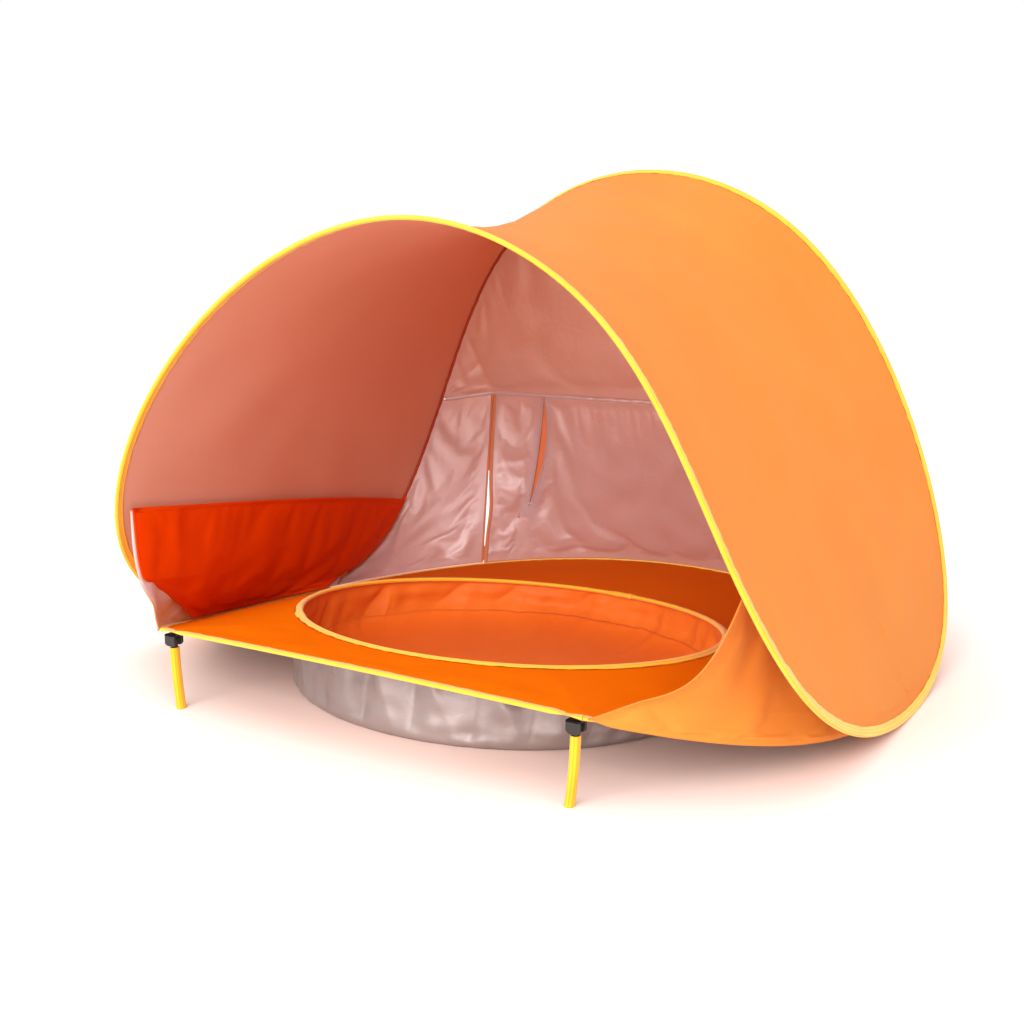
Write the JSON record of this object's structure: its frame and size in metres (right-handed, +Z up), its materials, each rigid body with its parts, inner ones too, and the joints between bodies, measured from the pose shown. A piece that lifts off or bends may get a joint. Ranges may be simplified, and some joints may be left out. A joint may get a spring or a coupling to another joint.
{
  "type": "pop-up beach shelter with pool",
  "caption": "Low pop-up sun shelter: a saddle-bent spring hoop carries a canopy and back wall over a raised floor whose oval rim holds a hanging paddling pool.",
  "frame": {"origin": "on the ground, at the middle of the bounding box", "axes": "+X to the shelter's right seen from the entrance, +Y to the back, +Z up; the entrance faces -Y"},
  "size_m": [1.17, 1.0505, 0.789],
  "materials": {
    "canopy_cloth": "matte",
    "floor_cloth": "satin",
    "pocket_cloth": "satin",
    "silver_coated_cloth": "satin",
    "yellow_tape": "matte",
    "yellow_sleeve": "matte",
    "black_plastic": "matte",
    "steel": "satin",
    "rod": "satin"
  },
  "bodies": {
    "shelter": {"canopy_hoop_wire": "steel", "canopy_hoop_ferrule": "steel", "canopy_hoop_binding": "yellow_tape", "base_rear_wire": "steel", "base_front_wire": "steel", "base_rear_binding": "yellow_tape", "base_front_binding": "yellow_tape", "pool_ring_wire": "steel", "pool_ring_ferrule": "steel", "pool_ring_binding": "yellow_tape", "canopy": "canopy_cloth", "back_wall_upper": "silver_coated_cloth", "back_seam_tape": "silver_coated_cloth", "back_wall_left": "silver_coated_cloth", "back_wall_right": "silver_coated_cloth", "skirt_left": "canopy_cloth", "skirt_right": "canopy_cloth", "pocket_left": "pocket_cloth", "pocket_right": "pocket_cloth", "floor_panel": "floor_cloth", "pool_wall": "silver_coated_cloth", "pool_bottom": "silver_coated_cloth", "leg_bracket_left": "black_plastic", "leg_pin_left": "steel", "leg_bracket_right": "black_plastic", "leg_pin_right": "steel"},
    "leg_left": {"leg_knuckle_left": "black_plastic", "leg_rod_left": "rod", "leg_sleeve_left": "yellow_sleeve"},
    "leg_right": {"leg_knuckle_right": "black_plastic", "leg_rod_right": "rod", "leg_sleeve_right": "yellow_sleeve"},
    "vent": {"vent_flap": "silver_coated_cloth"}
  },
  "joints": [
    {"name": "leg_left_fold", "type": "hinge", "parent": "shelter", "child": "leg_left", "pos_m": [-0.33125, -0.50541, 0.101], "axis": [0, -1, 0], "range_deg": [0, 80]},
    {"name": "leg_right_fold", "type": "hinge", "parent": "shelter", "child": "leg_right", "pos_m": [0.33125, -0.50541, 0.101], "axis": [0, 1, 0], "range_deg": [0, 80]},
    {"name": "vent_flap_swing", "type": "hinge", "parent": "shelter", "child": "vent", "pos_m": [0, 0.4, 0.377], "axis": [1, 0, 0], "range_deg": [0, 100]}
  ]
}
